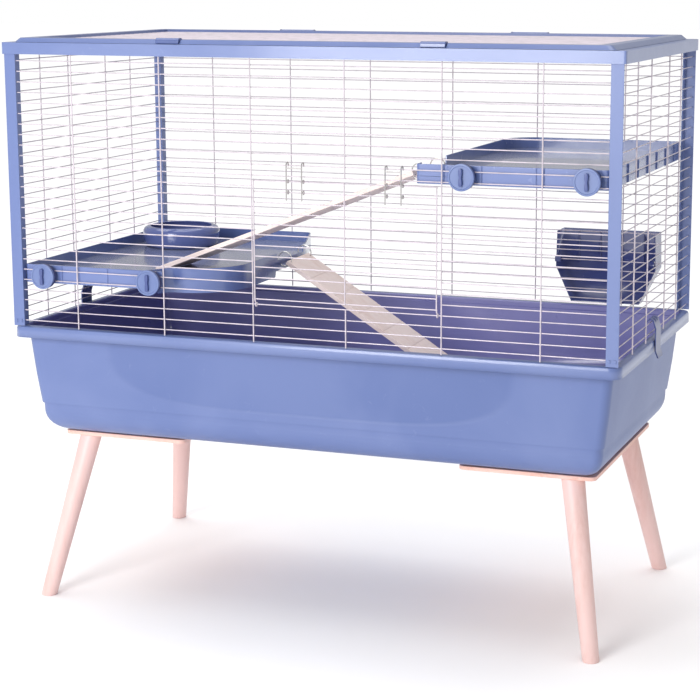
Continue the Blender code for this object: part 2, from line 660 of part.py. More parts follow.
# Hay rack: an open hopper behind the back panel, hooked over one of its wires.
def build_rack():
    half_top, half_bend, half_bottom = 0.0855, 0.0870, 0.0595
    sides = [(-half_top, RACK_TOP), (-half_bend, RACK_BEND), (-half_bottom, RACK_BOTTOM),
             (half_bottom, RACK_BOTTOM), (half_bend, RACK_BEND), (half_top, RACK_TOP)]
    depth_bottom = 0.020

    def back(z):
        share = max(0, (RACK_BEND - z) / (RACK_BEND - RACK_BOTTOM))
        return RACK_BACK - depth_bottom * share

    bm = bmesh.new()
    near = [bm.verts.new((RACK_X + x, RACK_FRONT, z)) for x, z in sides]
    far = [bm.verts.new((RACK_X + x, back(z), z)) for x, z in sides]
    for i in range(len(sides) - 1):
        bm.faces.new((near[i], far[i], far[i + 1], near[i + 1]))
    bm.faces.new((far[1], far[0], far[5], far[4]))
    bm.faces.new((far[2], far[1], far[4], far[3]))
    hook_z = row(HOOK_ROW) + WIRE / 2 + GAP
    rack = add("hay_rack", bm, deep_blue, (RACK_X, PANEL_Y, hook_z))
    bmesh_normals = bmesh.new()
    bmesh_normals.from_mesh(rack.data)
    bmesh.ops.recalc_face_normals(bmesh_normals, faces=bmesh_normals.faces)
    bmesh_normals.to_mesh(rack.data)
    bmesh_normals.free()
    thicken(rack, 0.0020)
    for sx in (-1, 1):
        wide = sorted((RACK_X + sx * 0.0760, RACK_X + sx * 0.0862))
        arm = [(RACK_FRONT + 0.003, hook_z - 0.006), (RACK_FRONT + 0.003, hook_z + 0.0025),
               (0.2465, hook_z + 0.0025), (0.2465, hook_z - 0.0060), (0.2485, hook_z - 0.0060),
               (0.2485, hook_z), (RACK_FRONT - 0.0015, hook_z), (RACK_FRONT - 0.0015, hook_z - 0.006)]
        hook = extrude_outline([(wide[0], y, z) for y, z in arm], (wide[1] - wide[0], 0, 0))
        combine(rack, hook, "UNION")


build_rack()
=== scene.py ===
import math

import bmesh
import bpy
from mathutils import Matrix, Vector


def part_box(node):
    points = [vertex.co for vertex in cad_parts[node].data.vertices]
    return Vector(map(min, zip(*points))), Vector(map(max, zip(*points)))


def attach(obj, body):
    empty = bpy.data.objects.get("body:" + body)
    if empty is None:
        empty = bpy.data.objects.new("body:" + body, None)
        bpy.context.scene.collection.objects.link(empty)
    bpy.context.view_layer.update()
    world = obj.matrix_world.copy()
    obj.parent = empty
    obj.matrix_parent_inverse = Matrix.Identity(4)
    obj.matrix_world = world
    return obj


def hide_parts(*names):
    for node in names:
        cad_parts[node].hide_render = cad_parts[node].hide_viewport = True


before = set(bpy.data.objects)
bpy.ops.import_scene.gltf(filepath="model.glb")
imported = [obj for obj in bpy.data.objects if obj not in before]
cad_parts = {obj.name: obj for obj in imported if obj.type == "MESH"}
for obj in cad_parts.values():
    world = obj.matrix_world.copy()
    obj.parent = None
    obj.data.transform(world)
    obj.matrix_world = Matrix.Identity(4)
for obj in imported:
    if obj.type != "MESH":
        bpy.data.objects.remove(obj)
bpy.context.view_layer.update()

frame_low, frame_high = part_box("roof_frame")
MID = (frame_low.y + frame_high.y) / 2

# Legs. Turned beech dowels, dyed pale pink and sealed. Each is held to the board above it by a stud and
# splays outwards, with its foot cut level so that it stands flat on the floor.
LEG_TOP, LEG_FOOT = (0.410, 0.169), (0.460, 0.238)
LEG_TOP_R, LEG_FOOT_R = 0.0180, 0.0130
PINK_PALE, PINK_DARK = (0.790, 0.560, 0.530, 1), (0.700, 0.440, 0.400, 1)
CORNERS = (("front_left", -1, -1), ("front_right", 1, -1), ("back_left", -1, 1), ("back_right", 1, 1))


def node(tree, kind, values=(), **settings):
    """Add a shader node; a value that is a socket is linked, and any other is set. Returns its outputs."""
    made = tree.nodes.new("ShaderNode" + kind)
    for name, value in settings.items():
        setattr(made, name, value)
    for key, value in dict(values).items():
        if isinstance(value, bpy.types.NodeSocket):
            tree.links.new(value, made.inputs[key])
        else:
            made.inputs[key].default_value = value
    return made.outputs


def effect(name, takes, gives):
    """Start a node group. Returns its tree, the sockets it takes and the sockets it gives."""
    tree = bpy.data.node_groups.new(name, "ShaderNodeTree")
    for label, value in takes.items():
        kind = "NodeSocketFloat"
        if isinstance(value, tuple):
            kind = "NodeSocketColor" if len(value) == 4 else "NodeSocketVector"
        tree.interface.new_socket(label, in_out="INPUT", socket_type=kind).default_value = value
    for label, kind in gives.items():
        tree.interface.new_socket(label, in_out="OUTPUT", socket_type="NodeSocket" + kind)
    return tree, tree.nodes.new("NodeGroupInput").outputs, tree.nodes.new("NodeGroupOutput").inputs


def spread(tree, value, low, high, out_low=0.0, out_high=1.0):
    return node(tree, "MapRange", {0: value, 1: low, 2: high, 3: out_low, 4: out_high})[0]


def blend_colour(tree, share, first, second):
    return node(tree, "Mix", {0: share, 6: first, 7: second}, data_type="RGBA")[2]


SURFACE = {"Colour": "Color", "Roughness": "Float", "Height": "Float"}
grain, given, gives = effect(
    "wood_figure",
    {"Place": (0.0, 0.0, 0.0), "Pale": PINK_PALE, "Dark": PINK_DARK, "Rough": 0.5, "Pores": 0.05},
    SURFACE,
)
streaks = node(grain, "TexNoise", {"Vector": given["Place"], "Scale": 95, "Detail": 6, "Roughness": 0.65})[0]
bands = node(grain, "TexNoise", {"Vector": given["Place"], "Scale": 22, "Detail": 2, "Distortion": 0.6})[0]
pores = node(grain, "TexNoise", {"Vector": given["Place"], "Scale": 620, "Detail": 2})[0]
figure = node(grain, "Math", {0: spread(grain, streaks, 0.35, 0.72), 1: spread(grain, bands, 0.38, 0.66)},
              operation="MULTIPLY")[0]
toned = blend_colour(grain, figure, given["Pale"], given["Dark"])
pitted = spread(grain, pores, 0.60, 0.74)
speckled = spread(grain, pores, 0.62, 0.80, 0, 0.35)
grain.links.new(blend_colour(grain, speckled, toned, given["Dark"]), gives["Colour"])
grain.links.new(node(grain, "Math", {0: figure, 1: 0.12, 2: given["Rough"]}, operation="MULTIPLY_ADD")[0],
                gives["Roughness"])
deep = node(grain, "Math", {0: pitted, 1: given["Pores"]}, operation="MULTIPLY")[0]
grain.links.new(node(grain, "Math", {0: streaks, 1: 0.03, 2: deep}, operation="MULTIPLY_ADD")[0],
                gives["Height"])


def skin(name, group, values, stretch=(1, 1, 1), turn=(0, 0, 0), **shader_values):
    """A material whose colour, roughness and relief come from a node group. Relief is in millimetres."""
    material = bpy.data.materials.new(name)
    material.use_nodes = True
    tree = material.node_tree
    shader = tree.nodes["Principled BSDF"]
    place = node(tree, "TexCoord")["Object"]
    place = node(tree, "Mapping", {"Vector": place, "Rotation": turn, "Scale": stretch})[0]
    used = tree.nodes.new("ShaderNodeGroup")
    used.node_tree = group
    used.name = "surface"
    tree.links.new(place, used.inputs["Place"])
    for label, value in values.items():
        used.inputs[label].default_value = value
    bump = node(tree, "Bump", {"Height": used.outputs["Height"], "Distance": 0.001})[0]
    tree.links.new(used.outputs["Colour"], shader.inputs["Base Color"])
    tree.links.new(used.outputs["Roughness"], shader.inputs["Roughness"])
    tree.links.new(bump, shader.inputs["Normal"])
    for label, value in shader_values.items():
        shader.inputs[label.replace("_", " ")].default_value = value
    return material


def piece(name, bm, material, body, *nodes, round_angle=32, bevel=0.0, shift=True, slot=None):
    """Make a mesh built round the cage's middle a piece of the body, in place of the CAD nodes named."""
    if shift:
        bmesh.ops.translate(bm, vec=(0, MID, 0), verts=bm.verts)
    mesh = bpy.data.meshes.new(name)
    bm.to_mesh(mesh)
    bm.free()
    obj = bpy.data.objects.new(name, mesh)
    bpy.context.scene.collection.objects.link(obj)
    mesh.materials.append(material)
    if bevel:
        edges = obj.modifiers.new("edges", "BEVEL")
        edges.width = bevel
        edges.segments = 3
        edges.limit_method = "ANGLE"
        edges.angle_limit = math.radians(round_angle)
        mesh.shade_smooth()
        obj.modifiers.new("normals", "WEIGHTED_NORMAL").keep_sharp = True
    else:
        mesh.shade_smooth()
        mesh.set_sharp_from_angle(angle=math.radians(round_angle))
    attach(obj, body)
    if nodes:
        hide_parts(*nodes)
    return obj


def copy_of(cad_node, whole_faces=True):
    """A CAD node's mesh, with its loose triangles merged into whole faces or left."""
    bm = bmesh.new()
    bm.from_mesh(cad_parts[cad_node].data)
    bmesh.ops.remove_doubles(bm, verts=bm.verts, dist=0.00001)
    if whole_faces:
        bmesh.ops.dissolve_limit(bm, angle_limit=math.radians(1), verts=bm.verts, edges=bm.edges)
    bmesh.ops.recalc_face_normals(bm, faces=bm.faces)
    return bm


def bar(start, end, radius, sides=8, into=None):
    """A round bar between two points."""
    bm = into or bmesh.new()
    start, end = Vector(start), Vector(end)
    turn = (end - start).to_track_quat("Z", "Y").to_matrix().to_4x4()
    bmesh.ops.create_cone(bm, cap_ends=True, segments=sides, radius1=radius, radius2=radius,
                          depth=(end - start).length, matrix=Matrix.Translation((start + end) / 2) @ turn)
    return bm


def block(x, y, z, into=None):
    """A block from its low and high along each axis."""
    bm = into or bmesh.new()
    size = Matrix.Diagonal((x[1] - x[0], y[1] - y[0], z[1] - z[0], 1))
    centre = Matrix.Translation(((x[0] + x[1]) / 2, (y[0] + y[1]) / 2, (z[0] + z[1]) / 2))
    bmesh.ops.create_cube(bm, size=1, matrix=centre @ size)
    return bm


ALONG_X, ALONG_Y, ALONG_Z = (0.05, 1, 1), (1, 0.05, 1), (1, 1, 0.05)
leg_wood = skin("pink_leg_wood", grain, {"Pale": PINK_PALE, "Dark": PINK_DARK, "Rough": 0.42}, ALONG_Z,
                Coat_Weight=0.10, Coat_Roughness=0.40)
LEG_HIGH, LEG_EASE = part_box("leg_front_left")[1].z, 0.0012
for name, sx, sy in CORNERS:
    leg = bmesh.new()
    bmesh.ops.create_cone(leg, cap_ends=True, segments=48, radius1=LEG_FOOT_R, radius2=LEG_TOP_R,
                          depth=LEG_HIGH, matrix=Matrix.Translation((0, 0, LEG_HIGH / 2)))
    ends = [edge for edge in leg.edges if len({round(v.co.z, 4) for v in edge.verts}) == 1]
    bmesh.ops.bevel(leg, geom=ends, offset=LEG_EASE, segments=3, affect="EDGES", profile=0.5, material=-1)
    lean = Matrix.Identity(4)
    lean[0][2] = sx * (LEG_TOP[0] - LEG_FOOT[0]) / LEG_HIGH
    lean[1][2] = sy * (LEG_TOP[1] - LEG_FOOT[1]) / LEG_HIGH
    stand = Matrix.Translation((sx * LEG_FOOT[0], sy * LEG_FOOT[1], 0))
    bmesh.ops.transform(leg, matrix=stand @ lean, verts=leg.verts)
    piece(f"turned_leg_{name}", leg, leg_wood, "base", f"leg_{name}")

# Leg boards. Flat birch boards across the tub's underside, stained to match the legs, one at each end. Their
# edges are eased; a bolt holds each leg, and a screw through the tub's floor holds each corner.
BOARD_PALE, BOARD_DARK = (0.880, 0.560, 0.480, 1), (0.690, 0.370, 0.290, 1)
board_wood = skin("pink_board_wood", grain, {"Pale": BOARD_PALE, "Dark": BOARD_DARK, "Rough": 0.48}, ALONG_Y)
for side in ("left", "right"):
    piece(f"board_{side}", copy_of(f"leg_board_{side}"), board_wood, "base", f"leg_board_{side}",
          bevel=0.0009, shift=False)

plated, given, gives = effect(
    "plated_metal", {"Place": (0.0, 0.0, 0.0), "Colour": (0.6, 0.6, 0.6, 1), "Rough": 0.25, "Haze": 0.10},
    SURFACE)
cloud = node(plated, "TexNoise", {"Vector": given["Place"], "Scale": 160, "Detail": 4})[0]
lines = node(plated, "TexNoise", {"Vector": given["Place"], "Scale": 1400, "Detail": 1})[0]
plated.links.new(blend_colour(plated, spread(plated, cloud, 0.5, 0.8, 0, 0.25), given["Colour"],
                              (0.36, 0.33, 0.30, 1)), gives["Colour"])
plated.links.new(node(plated, "Math", {0: cloud, 1: given["Haze"], 2: given["Rough"]},
                      operation="MULTIPLY_ADD")[0], gives["Roughness"])
plated.links.new(node(plated, "Math", {0: lines, 1: 0.01}, operation="MULTIPLY")[0], gives["Height"])
steel = skin("plated_steel", plated, {"Colour": (0.62, 0.61, 0.59, 1)}, Metallic=1.0)
for name, sx, sy in CORNERS:
    for kept in (f"leg_bolt_{name}", f"board_screw_{name}"):
        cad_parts[kept].material_slots[0].material = steel

# Tub. One deep polypropylene moulding, open at the top, with a rounded lower edge and a fine ledge line round
# it. Each long wall has a shallow pressed field, its colour darkened by painted shade, and the wire cage stands
# on the down-turned rim.
WALL = 0.0025
BELLY = (0.4676, 0.2288, 0.3105)
LEDGE = [(0.4679, 0.2291, 0.3212), (0.4682, 0.2294, 0.3220), (0.4700, 0.2312, 0.3224),
         (0.4704, 0.2314, 0.3240)]
SIDE = [(0.4768, 0.2352, 0.3700), (0.4836, 0.2390, 0.4330), (0.4842, 0.2394, 0.4405)]
NECK = [(0.4868, 0.2418, 0.4418), (0.4872, 0.2422, 0.4488), (0.4880, 0.2430, 0.4496)]
RIM = [(0.4948, 0.2518, 0.4496), (0.4961, 0.2531, 0.4490), (0.4966, 0.2536, 0.4478),
       (0.4970, 0.2540, 0.4340)]
FLOOR_SIZE, FLOOR_Z, FLOOR_CORNER = (0.4330, 0.1880), 0.2725, 0.013
BLUE = (0.118, 0.166, 0.370, 1)
NAVY = (0.026, 0.034, 0.130, 1)

moulded, given, gives = effect(
    "moulded_plastic",
    {"Place": (0.0, 0.0, 0.0), "Colour": BLUE, "Rough": 0.38, "Grain": 0.012, "Relief": 0.0,
     "Field Shade": 0.0},
    SURFACE,
)
flow = node(moulded, "TexNoise", {"Vector": given["Place"], "Scale": 4.5, "Detail": 3, "Distortion": 0.8})[0]
orange_peel = node(moulded, "TexNoise", {"Vector": given["Place"], "Scale": 900, "Detail": 2})[0]
scuffs = node(moulded, "TexNoise", {"Vector": given["Place"], "Scale": 38, "Detail": 7, "Roughness": 0.7,
                                    "Distortion": 1.4})[0]
rubbed = spread(moulded, scuffs, 0.62, 0.80, 0, 0.16)
paler = node(moulded, "HueSaturation", {"Saturation": 0.93, "Value": 1.10, "Color": given["Colour"]})[0]
toned = blend_colour(moulded, spread(moulded, flow, 0.40, 0.62, 0, 0.75), given["Colour"], paler)
# Painted shade: where Field Painted Shade is set, the pressed field's colour is darkened to stand in for the
# shade in the recess.
painted_field_shade = node(moulded, "HueSaturation", {"Saturation": 1.06, "Value": 0.90, "Color": toned})[0]
fielded = blend_colour(moulded, node(moulded, "Math", {0: given["Relief"], 1: given["Field Shade"]},
                                     operation="MULTIPLY")[0], toned, painted_field_shade)
worn = blend_colour(moulded, rubbed, fielded, (0.42, 0.47, 0.66, 1))
moulded.links.new(worn, gives["Colour"])
rough = node(moulded, "Math", {0: scuffs, 1: 0.10, 2: given["Rough"]}, operation="MULTIPLY_ADD")[0]
moulded.links.new(node(moulded, "Math", {0: rubbed, 1: 0.5, 2: rough}, operation="MULTIPLY_ADD")[0],
                  gives["Roughness"])
skin_height = node(moulded, "Math", {0: orange_peel, 1: given["Grain"]}, operation="MULTIPLY")[0]
moulded.links.new(node(moulded, "Math", {0: given["Relief"], 1: -0.9, 2: skin_height},
                       operation="MULTIPLY_ADD")[0], gives["Height"])

blue_plastic = skin("blue_plastic", moulded, {"Colour": BLUE, "Rough": 0.30}, Coat_Weight=0.5,
                    Coat_Roughness=0.12)
# The outer tub darkens its pressed fields with painted shade.
tub_plastic = skin("tub_plastic", moulded, {"Colour": BLUE, "Rough": 0.36, "Field Shade": 0.75})
# Painted light: the tub's inside walls get a paler, more violet copy of the same blue plastic, standing in for
# the light they catch.
tub_inside_painted_light = skin("painted_light_tub_inside_plastic", moulded, {"Colour": (0.170, 0.168, 0.420, 1), "Rough": 0.24},
                 Coat_Weight=0.4, Coat_Roughness=0.15)

pressed, given, gives = effect(
    "pressed_field", {"Place": (0.0, 0.0, 0.0), "Half Width": 0.335, "Depth": 0.098}, {"Mask": "Float"})
axes = node(pressed, "SeparateXYZ", {0: given["Place"]})
across = node(pressed, "Math", {0: node(pressed, "Math", {0: axes[0]}, operation="ABSOLUTE")[0],
                                1: given["Half Width"]}, operation="DIVIDE")[0]
below = node(pressed, "Math", {0: spread(pressed, axes[2], 0.4340, 0.3340, 0, 0.1), 1: given["Depth"]},
             operation="DIVIDE")[0]
bend = node(pressed, "Math", {0: node(pressed, "Math", {0: across, 1: 4.0}, operation="POWER")[0],
                              1: node(pressed, "Math", {0: below, 1: 3.0}, operation="POWER")[0]},
            operation="ADD")[0]
pressed.links.new(node(pressed, "MapRange", {0: bend, 1: 0.90, 2: 1.12, 3: 1.0, 4: 0.0},
                       interpolation_type="SMOOTHSTEP")[0], gives["Mask"])
field = tub_plastic.node_tree.nodes.new("ShaderNodeGroup")
field.node_tree = pressed
links = tub_plastic.node_tree.links
links.new(node(tub_plastic.node_tree, "TexCoord")["Object"], field.inputs["Place"])
links.new(field.outputs["Mask"], tub_plastic.node_tree.nodes["surface"].inputs["Relief"])


def round_sheet(half, radius, z):
    """A flat rectangle with rounded corners, from its half length and width."""
    bm = bmesh.new()
    size = Matrix.Diagonal((half[0], half[1], 1, 1))
    bmesh.ops.create_grid(bm, x_segments=1, y_segments=1, size=1, matrix=Matrix.Translation((0, 0, z)) @ size)
    signs = ((1, 1), (-1, 1), (-1, -1), (1, -1))
    corners = [min(bm.verts, key=lambda v: -sx * v.co.x - sy * v.co.y) for sx, sy in signs]
    for corner in corners:
        bmesh.ops.bevel(bm, geom=[corner], offset=radius, segments=8, affect="VERTICES", profile=0.5,
                        material=-1)
    return bm


def next_ring(bm, edges, old, new, z):
    """Pull a rim of edges from its old half length and width to a new one, at a new height."""
    pulled = bmesh.ops.extrude_edge_only(bm, edges=edges)["geom"]
    for vert in [item for item in pulled if isinstance(item, bmesh.types.BMVert)]:
        vert.co.x = vert.co.x * new[0] / old[0]
        vert.co.y = vert.co.y * new[1] / old[1]
        vert.co.z = z
    return [item for item in pulled if isinstance(item, bmesh.types.BMEdge)]


tub = round_sheet(FLOOR_SIZE, FLOOR_CORNER, FLOOR_Z)
rim, last = list(tub.edges), FLOOR_SIZE
for step in range(1, 10):
    turn = math.radians(10 * step)
    size = [base + (full - base) * math.sin(turn) for base, full in zip(FLOOR_SIZE, BELLY)]
    rim = next_ring(tub, rim, last, size, FLOOR_Z + (BELLY[2] - FLOOR_Z) * (1 - math.cos(turn)))
    last = size
for ring in [BELLY] + LEDGE + SIDE + NECK + RIM:
    rim = next_ring(tub, rim, last, ring, ring[2])
    last = ring
bmesh.ops.recalc_face_normals(tub, faces=tub.faces)
if min(tub.faces, key=lambda face: face.calc_center_median().z).normal.z > 0:
    bmesh.ops.reverse_faces(tub, faces=tub.faces)
tub_shell = piece("tub_shell", tub, tub_plastic, "base", "tub", round_angle=40)
# The solidified inner skin takes the painted-light copy of the blue.
tub_shell.data.materials.append(tub_inside_painted_light)
tub_shell.data.materials.append(blue_plastic)
wall = tub_shell.modifiers.new("wall", "SOLIDIFY")
wall.thickness = WALL
wall.offset = -1
wall.use_even_offset = True
wall.material_offset = 1
for face in tub_shell.data.polygons:
    if max(abs(face.center.x) / NECK[-1][0], abs(face.center.y - MID) / NECK[-1][1]) > 1:
        face.material_index = 2

# Tub pads and rim ribs. Four thicker pads, moulded with the tub's floor, carry the boards. Two long ribs
# stiffen the inside of the back rim. Both are the tub's own plastic.
PAD_X, PAD_Y, PAD_Z = (0.310, 0.425), (0.090, 0.1830), (0.2685, 0.2735)
for name, sx, sy in CORNERS:
    pad = block(sorted(sx * x for x in PAD_X), sorted(sy * y for y in PAD_Y), PAD_Z)
    piece(f"tub_pad_{name}", pad, tub_plastic, "base", bevel=0.0015, slot="blue_plastic")
RIB_Y, RIB_Z, RIB_R = 0.2385, 0.4372, 0.0016
rib = bmesh.new()
for start, end in ((-0.420, -0.060), (0.143, 0.351)):
    bar((start, RIB_Y, RIB_Z), (end, RIB_Y, RIB_Z), RIB_R, 10, into=rib)
piece("tub_rim_ribs", rib, blue_plastic, "base", slot="blue_plastic")

# Corner posts. Four L-section plastic extrusions that clip into the tub's rim and the roof frame, and trap the
# edges of the wire panels. Two small studs show where each one clips.
post_plastic = skin("post_plastic", moulded, {"Colour": (0.125, 0.172, 0.375, 1), "Rough": 0.30}, (1, 1, 0.1))
STUD_X, STUD_Y, STUD_Z, STUD_HALF = 0.4870, (0.2538, 0.2553), (0.4580, 0.4632), 0.0018
for name, sx, sy in CORNERS:
    piece(f"corner_post_{name}", copy_of(f"post_{name}"), post_plastic, "cage", f"post_{name}", bevel=0.0005,
          shift=False)
    studs = bmesh.new()
    for offset in (-0.0045, 0.0045):
        x = sx * STUD_X + offset
        block((x - STUD_HALF, x + STUD_HALF), sorted(sy * y for y in STUD_Y), STUD_Z, into=studs)
    piece(f"post_clip_{name}", studs, post_plastic, "cage", bevel=0.0005, slot="blue_plastic")

# Roof frame. One blue moulded ring, its edges eased, with a deep skirt that caps the posts and wire panels. It
# is pushed down on the posts, and the lid lies on its flat ledge.
piece("roof_ring", copy_of("roof_frame"), blue_plastic, "cage", "roof_frame", bevel=0.0007, shift=False)

# Wire panels. Steel wires welded where they cross, then dipped in a pale coating: close level wires and a few
# uprights outside them. The front panel leaves the doorway open.
ROW_R, UPRIGHT_R = 0.00085, 0.0011
ROWS = [0.4620 + 0.0165 * i for i in range(26)]
FRONT_X = [0.1519 * (i - 2.5) for i in range(6)]
SIDE_Y = (-0.1530, -0.0635, 0.0635, 0.1530)
FRONT_Y, ROW_END, SIDE_X, SIDE_END = 0.2511, 0.4768, 0.4916, 0.2514
OUTSIDE = 0.0018
FOOT_Z, HEAD_Z = 0.4528, 0.8990
DOOR_ROWS = range(4, 15)

dipped, given, gives = effect(
    "dipped_coating", {"Place": (0.0, 0.0, 0.0), "Colour": (0.70, 0.64, 0.68, 1), "Rough": 0.30, "Runs": 0.02},
    SURFACE)
cloud = node(dipped, "TexNoise", {"Vector": given["Place"], "Scale": 60, "Detail": 3})[0]
drops = node(dipped, "TexNoise", {"Vector": given["Place"], "Scale": 420, "Detail": 2})[0]
greyed = node(dipped, "HueSaturation", {"Saturation": 0.8, "Value": 0.82, "Color": given["Colour"]})[0]
dipped.links.new(blend_colour(dipped, spread(dipped, cloud, 0.42, 0.68), given["Colour"], greyed),
                 gives["Colour"])
dipped.links.new(node(dipped, "Math", {0: drops, 1: 0.15, 2: given["Rough"]}, operation="MULTIPLY_ADD")[0],
                 gives["Roughness"])
dipped.links.new(node(dipped, "Math", {0: drops, 1: given["Runs"]}, operation="MULTIPLY")[0], gives["Height"])
coated_wire = skin("coated_wire", dipped, {"Colour": (0.62, 0.55, 0.61, 1)}, Metallic=0.15, Coat_Weight=0.3)

for side, sy in (("front", -1), ("back", 1)):
    panel = bmesh.new()
    y = sy * FRONT_Y
    for number, z in enumerate(ROWS):
        spans = [(-ROW_END, ROW_END)]
        if side == "front" and number in DOOR_ROWS:
            spans = [(-ROW_END, FRONT_X[2]), (FRONT_X[4], ROW_END)]
        for start, end in spans:
            bar((start, y, z), (end, y, z), ROW_R, into=panel)
    for x in FRONT_X:
        spans = [(FOOT_Z, HEAD_Z)]
        if side == "front" and x == FRONT_X[3]:
            spans = [(FOOT_Z, ROWS[3]), (ROWS[15], HEAD_Z)]
        for start, end in spans:
            bar((x, y + sy * OUTSIDE, start), (x, y + sy * OUTSIDE, end), UPRIGHT_R, into=panel)
    piece(f"{side}_wires", panel, coated_wire, "cage", f"{side}_panel")
for side, sx in (("left", -1), ("right", 1)):
    panel = bmesh.new()
    for z in ROWS:
        bar((sx * SIDE_X, -SIDE_END, z), (sx * SIDE_X, SIDE_END, z), ROW_R, into=panel)
    for y in SIDE_Y:
        x = sx * (SIDE_X + OUTSIDE)
        bar((x, y, FOOT_Z), (x, y, HEAD_Z), UPRIGHT_R, into=panel)
    piece(f"{side}_wires", panel, coated_wire, "cage", f"{side}_panel")

# Front door. A smaller panel of the same wire; its two outer wires curl round a panel wire as hinges. Two
# bent spring-wire latches slide on it and hook over the doorway's head wire.
DOOR_X = (-0.0710, 0.0765, 0.2215)
DOOR_TOP, DOOR_ROW_Y, DOOR_UPRIGHT_Y = 0.7020, -0.2549, -0.2566
HINGE_Y, HINGE_Z = -FRONT_Y, ROWS[3]
ROW_STEP, CURL_R = 0.0165, 0.0030


def bent_wire(bm, points, radius, sides=8):
    """A round wire along a path, its ends capped."""
    points = [Vector(point) for point in points]
    ways = [(b - a).normalized() for a, b in zip(points, points[1:])]
    facing = Vector((0, 0, 1)).rotation_difference(ways[0])
    way, last_edges = ways[0], None
    for i, point in enumerate(points):
        new_way = (ways[max(i - 1, 0)] + ways[min(i, len(ways) - 1)]).normalized()
        facing = way.rotation_difference(new_way) @ facing
        way = new_way
        place = Matrix.Translation(point) @ facing.to_matrix().to_4x4()
        ring = bmesh.ops.create_circle(bm, cap_ends=i in (0, len(points) - 1), segments=sides, radius=radius,
                                       matrix=place)["verts"]
        edges = list({edge for vert in ring for edge in vert.link_edges})
        if last_edges:
            bmesh.ops.bridge_loops(bm, edges=last_edges + edges)
        last_edges = edges
    bmesh.ops.recalc_face_normals(bm, faces=bm.faces)


def arc(x, centre, radius, first, last, steps):
    """Points round part of a circle that faces along X; the angles are in degrees, turning from Y to Z."""
    angles = [math.radians(first + (last - first) * i / steps) for i in range(steps + 1)]
    return [(x, centre[0] + radius * math.cos(turn), centre[1] + radius * math.sin(turn)) for turn in angles]


door = bmesh.new()
for i in range(12):
    z = DOOR_TOP - ROW_STEP * i
    bar((DOOR_X[0] - 0.0008, DOOR_ROW_Y, z), (DOOR_X[2] + 0.0008, DOOR_ROW_Y, z), ROW_R, into=door)
bar((DOOR_X[1], DOOR_UPRIGHT_Y, HINGE_Z + 0.0080), (DOOR_X[1], DOOR_UPRIGHT_Y, DOOR_TOP + 0.001), UPRIGHT_R,
    into=door)
for x in (DOOR_X[0], DOOR_X[2]):
    curl = arc(x, (HINGE_Y, HINGE_Z), CURL_R, 130, 400, 14)
    bent_wire(door, [(x, DOOR_UPRIGHT_Y, DOOR_TOP + 0.001), (x, DOOR_UPRIGHT_Y, HINGE_Z + 0.0085),
                     (x, DOOR_UPRIGHT_Y + 0.0012, HINGE_Z + 0.0050), *curl], UPRIGHT_R)
piece("door_wires", door, coated_wire, "front_door", "front_door")
latch_wire = skin("latch_spring_wire", plated, {"Colour": (0.52, 0.50, 0.50, 1), "Rough": 0.28}, Metallic=0.9)
LATCH_R, LATCH_HALF, HOOK_R, EYE_R, EYE_WIRE_R = 0.0010, 0.0125, 0.0042, 0.0027, 0.0007
for side, centre in (("left", -0.00375), ("right", 0.15425)):
    latch = bmesh.new()
    for x in (centre - LATCH_HALF, centre + LATCH_HALF):
        hook = arc(x, (-0.2534, 0.7268), HOOK_R, 180, -10, 8)
        bent_wire(latch, [(x, -0.2582, 0.6735), (x, -0.2580, 0.7000), *hook, (x, -0.2490, 0.7245)], LATCH_R)
        for z in (DOOR_TOP - ROW_STEP, DOOR_TOP):
            bent_wire(latch, arc(x + 0.0024, (-0.2567, z + 0.0006), EYE_R, 0, 330, 10), EYE_WIRE_R, 6)
    bar((centre - LATCH_HALF, -0.2580, 0.7225), (centre + LATCH_HALF, -0.2580, 0.7225), LATCH_R, into=latch)
    piece(f"latch_wire_{side}", latch, latch_wire, f"door_latch_{side}", f"door_latch_{side}")

# Roof lid. A moulded ring with a welded wire grille set in it. Two barrels turn on steel pins at the back,
# and two dark caps that lift hold the front.
piece("lid_ring", copy_of("roof_lid_frame"), blue_plastic, "roof_lid", "roof_lid_frame", bevel=0.0006,
      shift=False)
GRILLE_Z, GRILLE_STEP, GRILLE_HALF = 0.9052, 0.0168, (0.4565, 0.2262)
grille = bmesh.new()
for i in range(27):
    y = GRILLE_STEP * (i - 13)
    bar((-GRILLE_HALF[0], y, GRILLE_Z), (GRILLE_HALF[0], y, GRILLE_Z), ROW_R, into=grille)
for x in FRONT_X:
    z = GRILLE_Z - OUTSIDE
    bar((x, -GRILLE_HALF[1], z), (x, GRILLE_HALF[1], z), UPRIGHT_R, into=grille)
piece("lid_wires", grille, coated_wire, "roof_lid", "roof_lid_grille")
DEEP_BLUE = (0.050, 0.075, 0.230, 1)
clip_plastic = skin("clip_plastic", moulded, {"Colour": DEEP_BLUE, "Rough": 0.24}, Coat_Weight=0.3)
latch_plastic = skin("roof_latch_plastic", moulded, {"Colour": (0.070, 0.105, 0.280, 1), "Rough": 0.16},
                     Coat_Weight=0.4, Coat_Roughness=0.08)
for side in ("left", "right"):
    piece(f"roof_cap_{side}", copy_of(f"roof_latch_{side}"), latch_plastic, f"roof_latch_{side}",
          f"roof_latch_{side}", bevel=0.0030, shift=False)
    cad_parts[f"roof_hinge_pin_{side}"].material_slots[0].material = steel
BARREL_Y, BARREL_Z, BARREL_HALF, BARREL_R = 0.2530, 0.9072, 0.0300, 0.0040
CAP_GAP, CAP_END, CAP_R = 0.0302, 0.0330, 0.0043
